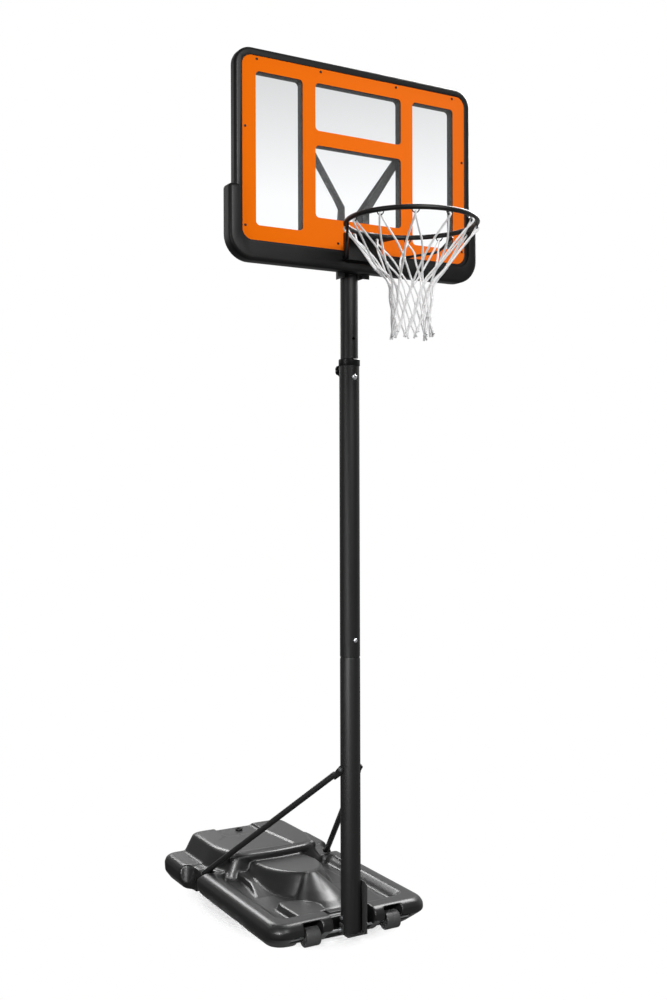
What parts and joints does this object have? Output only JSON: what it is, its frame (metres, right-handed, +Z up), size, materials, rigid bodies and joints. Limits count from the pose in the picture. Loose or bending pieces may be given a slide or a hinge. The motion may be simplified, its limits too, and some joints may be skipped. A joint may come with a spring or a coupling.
{
  "type": "portable basketball hoop",
  "caption": "Free-standing basketball hoop: framed clear board, ring and net on a height-adjustable pole, braced to a wheeled water tank base.",
  "frame": {"origin": "on the floor under the middle of the hoop's bounding box", "axes": "+Z up, -Y the way the board and ring face, +X to the right seen from the front"},
  "size_m": [1.117, 1.7775, 3.417],
  "materials": {
    "tank_plastic": "satin blow-moulded",
    "cap_plastic": "satin",
    "wheel_plastic": "satin",
    "pole_paint": "satin powder coat",
    "rim_paint": "satin powder coat",
    "black_hardware": "black oxide",
    "zinc_hardware": "zinc plated",
    "insert_brass": "turned",
    "frame_plastic": "fine grain",
    "pad_plastic": "satin",
    "clear_sheet": "clear",
    "orange_film": "gloss",
    "net_cord": "braided"
  },
  "bodies": {
    "stand": {"tank": "tank_plastic", "collar": "cap_plastic", "foot_bracket": "pole_paint", "lower_tube": "pole_paint", "middle_tube": "pole_paint", "left_strut": "pole_paint", "right_strut": "pole_paint", "clamp_nut": "pole_paint", "strut_top_nut": "black_hardware", "strut_foot_bolts": "black_hardware", "axle": "zinc_hardware", "axle_nuts": "zinc_hardware", "foot_bolt": "zinc_hardware", "foot_nut": "zinc_hardware", "joint_bolt": "zinc_hardware", "joint_nut": "zinc_hardware", "lock_bolt": "zinc_hardware", "strut_top_bolt": "zinc_hardware", "strut_inserts": "insert_brass"},
    "mast": {"upper_tube": "pole_paint", "left_arm": "pole_paint", "right_arm": "pole_paint", "arm_bolts": "zinc_hardware", "arm_nuts": "zinc_hardware", "arm_spacers": "pole_paint", "arm_top_screws": "zinc_hardware", "board_frame": "frame_plastic", "board_sheet": "clear_sheet", "border_film": "orange_film", "sheet_screws": "black_hardware", "edge_pad": "pad_plastic", "rim_ring": "rim_paint", "rim_bracket": "rim_paint", "left_brace": "rim_paint", "right_brace": "rim_paint", "net_hooks": "rim_paint", "rim_bolts": "black_hardware", "rim_nuts": "zinc_hardware", "net": "net_cord"},
    "left_wheel": {"left_wheel": "wheel_plastic"},
    "right_wheel": {"right_wheel": "wheel_plastic"},
    "clamp_knob": {"clamp_knob": "cap_plastic", "clamp_screw": "zinc_hardware"},
    "fill_cap": {"fill_cap": "cap_plastic"}
  },
  "joints": [
    {"name": "height_slide", "type": "slide", "parent": "stand", "child": "mast", "axis": [0, 0, 1], "range_m": [-0.1524, 0.3048]},
    {"name": "left_wheel_spin", "type": "hinge", "parent": "stand", "child": "left_wheel", "pos_m": [-0.183, -0.19625, 0.046], "axis": [1, 0, 0], "continuous": true},
    {"name": "right_wheel_spin", "type": "hinge", "parent": "stand", "child": "right_wheel", "pos_m": [0.183, -0.19625, 0.046], "axis": [1, 0, 0], "continuous": true},
    {"name": "clamp_knob_turn", "type": "hinge", "parent": "stand", "child": "clamp_knob", "pos_m": [0, -0.13195, 2.258], "axis": [0, 1, 0], "range_deg": [0, 720]},
    {"name": "fill_cap_turn", "type": "hinge", "parent": "stand", "child": "fill_cap", "pos_m": [-0.01, 0.82875, 0.184], "axis": [0, 0, 1], "range_deg": [0, 720]}
  ]
}
